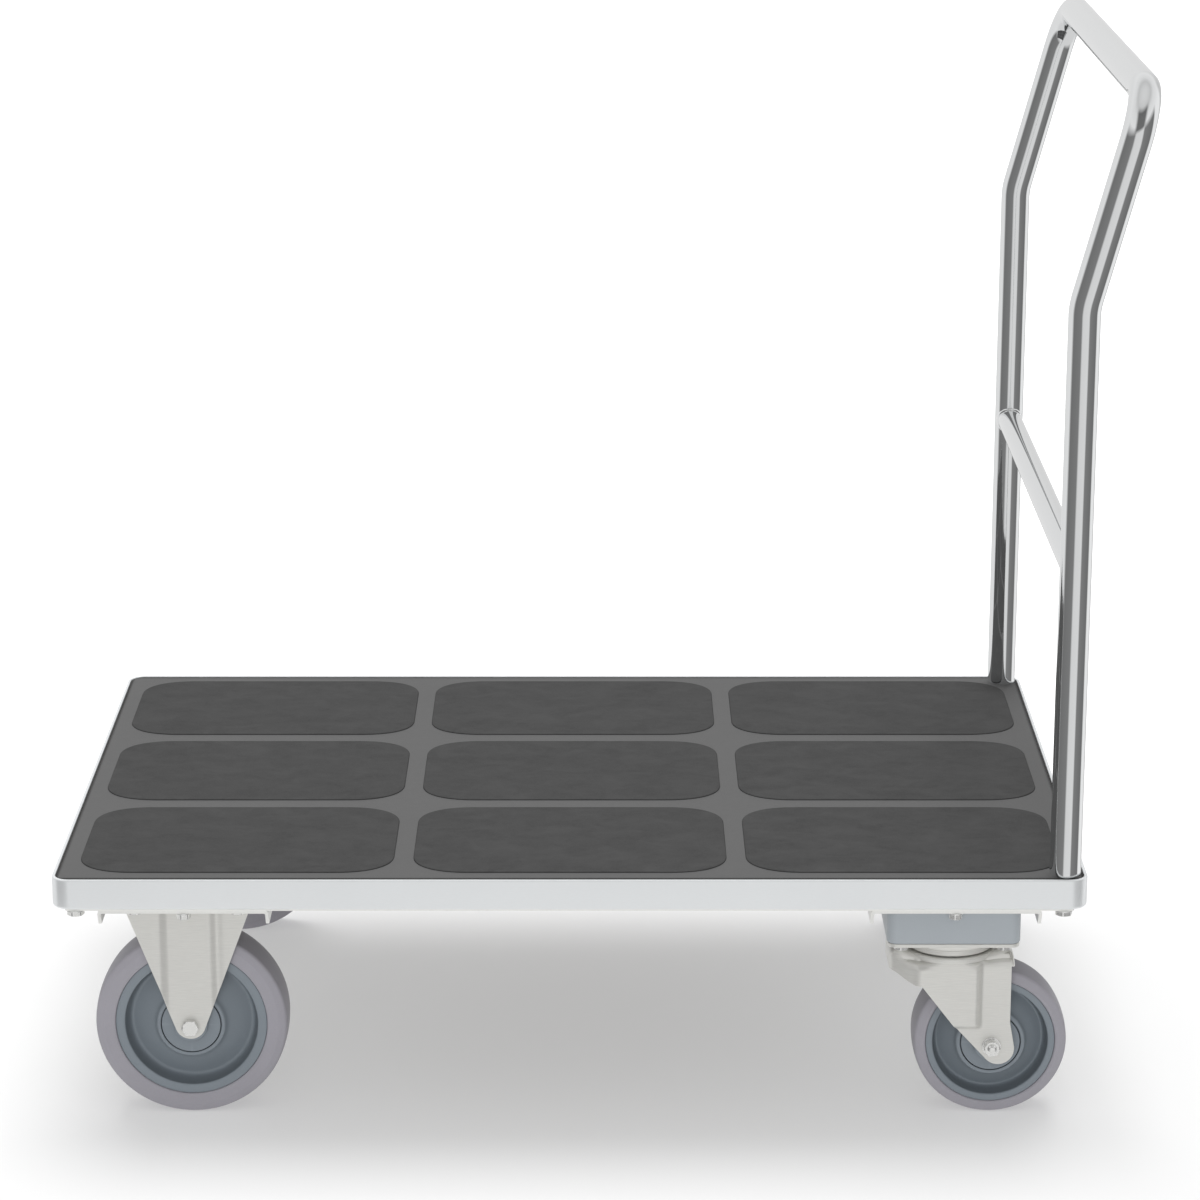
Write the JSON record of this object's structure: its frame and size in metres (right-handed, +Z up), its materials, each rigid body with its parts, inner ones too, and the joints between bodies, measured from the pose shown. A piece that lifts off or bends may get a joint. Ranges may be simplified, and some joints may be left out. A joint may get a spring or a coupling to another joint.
{
  "type": "airport luggage trolley",
  "caption": "Platform luggage trolley with a rimmed rubber-padded deck, a leaning bent-tube push handle, fixed front castors and swivel rear castors on spacer blocks.",
  "frame": {"origin": "on the floor, under the middle of the overall box", "axes": "+X towards the handle end, +Y across the deck, +Z up; the fixed castors are at -X"},
  "size_m": [1.0993, 0.7, 1.0881],
  "materials": {
    "bright_zinc": "bright zinc plated, smooth",
    "plywood": "plywood faced with dark brown film",
    "mat_rubber": "matt rubber sheet",
    "pad_rubber": "fine grained rubber, matt",
    "chrome_tube": "polished chrome plated",
    "zinc_plate": "zinc plated sheet",
    "castor_steel": "brushed, zinc plated pressing",
    "tyre": "non-marking grey elastic rubber",
    "wheel_centre": "moulded polyamide, blue grey",
    "spacer_block": "moulded block, light blue grey",
    "bearing_steel": "ground steel",
    "fastener_zinc": "zinc plated"
  },
  "bodies": {
    "platform": {"rim_frame": "bright_zinc", "deck_board": "plywood", "deck_mat": "mat_rubber", "mat_pads": "pad_rubber", "support_bars": "zinc_plate", "channel_front": "zinc_plate", "channel_rear": "zinc_plate", "handle_tube": "chrome_tube", "handle_brace": "chrome_tube", "handle_plugs": "zinc_plate", "corner_bolts": "fastener_zinc", "corner_tee_nuts": "fastener_zinc", "channel_bolts": "fastener_zinc", "channel_tee_nuts": "fastener_zinc", "fixed_castor_bolts": "fastener_zinc", "swivel_castor_bolts": "fastener_zinc", "castor_nuts": "fastener_zinc", "fixed_left_fork": "castor_steel", "fixed_left_axle_bolt": "fastener_zinc", "fixed_left_axle_nut": "fastener_zinc", "fixed_left_axle_sleeve": "wheel_centre", "fixed_right_fork": "castor_steel", "fixed_right_axle_bolt": "fastener_zinc", "fixed_right_axle_nut": "fastener_zinc", "fixed_right_axle_sleeve": "wheel_centre", "swivel_left_spacer": "spacer_block", "swivel_left_plate": "castor_steel", "swivel_left_kingpin": "fastener_zinc", "swivel_right_spacer": "spacer_block", "swivel_right_plate": "castor_steel", "swivel_right_kingpin": "fastener_zinc"},
    "fixed_left_wheel": {"fixed_left_tyre": "tyre", "fixed_left_hub": "wheel_centre", "fixed_left_bearings": "bearing_steel", "fixed_left_caps": "wheel_centre"},
    "fixed_right_wheel": {"fixed_right_tyre": "tyre", "fixed_right_hub": "wheel_centre", "fixed_right_bearings": "bearing_steel", "fixed_right_caps": "wheel_centre"},
    "swivel_left_swivel": {"swivel_left_fork": "castor_steel", "swivel_left_balls": "bearing_steel", "swivel_left_axle_bolt": "fastener_zinc", "swivel_left_axle_nut": "fastener_zinc", "swivel_left_axle_sleeve": "wheel_centre"},
    "swivel_left_wheel": {"swivel_left_tyre": "tyre", "swivel_left_hub": "wheel_centre", "swivel_left_bearings": "bearing_steel", "swivel_left_caps": "wheel_centre"},
    "swivel_right_swivel": {"swivel_right_fork": "castor_steel", "swivel_right_balls": "bearing_steel", "swivel_right_axle_bolt": "fastener_zinc", "swivel_right_axle_nut": "fastener_zinc", "swivel_right_axle_sleeve": "wheel_centre"},
    "swivel_right_wheel": {"swivel_right_tyre": "tyre", "swivel_right_hub": "wheel_centre", "swivel_right_bearings": "bearing_steel", "swivel_right_caps": "wheel_centre"}
  },
  "joints": [
    {"name": "fixed_left_wheel_spin", "type": "hinge", "parent": "platform", "child": "fixed_left_wheel", "pos_m": [-0.41758, -0.264, 0.1], "axis": [0, 1, 0], "continuous": true},
    {"name": "fixed_right_wheel_spin", "type": "hinge", "parent": "platform", "child": "fixed_right_wheel", "pos_m": [-0.41758, 0.264, 0.1], "axis": [0, 1, 0], "continuous": true},
    {"name": "swivel_left_turn", "type": "hinge", "parent": "platform", "child": "swivel_left_swivel", "pos_m": [0.36842, -0.264, 0.182], "axis": [0, 0, 1], "continuous": true},
    {"name": "swivel_left_wheel_spin", "type": "hinge", "parent": "swivel_left_swivel", "child": "swivel_left_wheel", "pos_m": [0.41142, -0.264, 0.08], "axis": [0, 1, 0], "continuous": true},
    {"name": "swivel_right_turn", "type": "hinge", "parent": "platform", "child": "swivel_right_swivel", "pos_m": [0.36842, 0.264, 0.182], "axis": [0, 0, 1], "continuous": true},
    {"name": "swivel_right_wheel_spin", "type": "hinge", "parent": "swivel_right_swivel", "child": "swivel_right_wheel", "pos_m": [0.41142, 0.264, 0.08], "axis": [0, 1, 0], "continuous": true}
  ]
}
